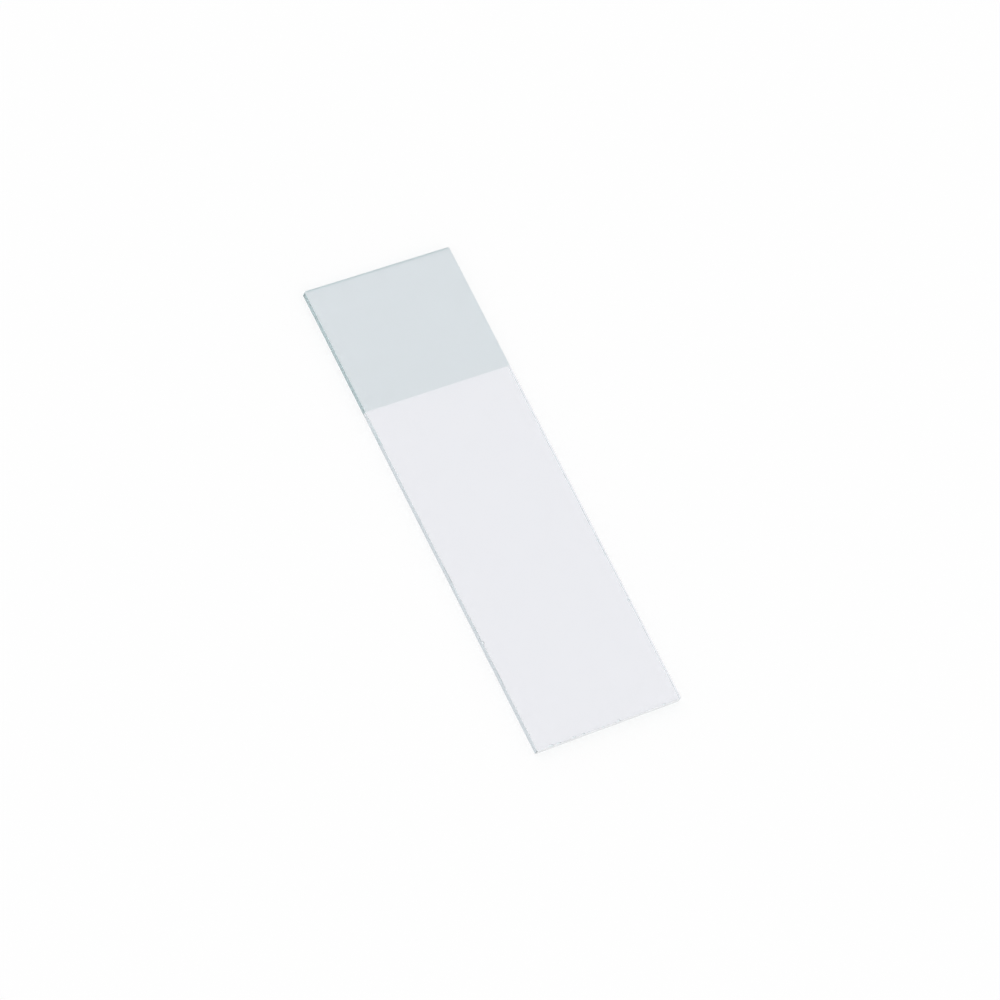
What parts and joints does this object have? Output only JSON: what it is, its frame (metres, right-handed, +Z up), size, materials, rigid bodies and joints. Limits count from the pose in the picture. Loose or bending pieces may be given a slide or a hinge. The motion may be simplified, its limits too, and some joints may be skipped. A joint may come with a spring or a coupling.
{
  "type": "microscope slide",
  "caption": "Flat rectangular glass slide that carries a specimen under a microscope, with a frosted marking face across one end.",
  "frame": {"origin": "centre of the underside, on the surface that the slide lies on", "axes": "+X along the slide, from the frosted end to the clear end; +Y across its width; +Z up, out of the frosted face"},
  "size_m": [0.075, 0.025, 0.001],
  "materials": {
    "glass": "clear polished soda-lime glass with glossy green-tinted cut edges, and a fine matt frosted face on top at the -X end"
  },
  "bodies": {
    "root": {"slide": "glass"}
  },
  "joints": []
}
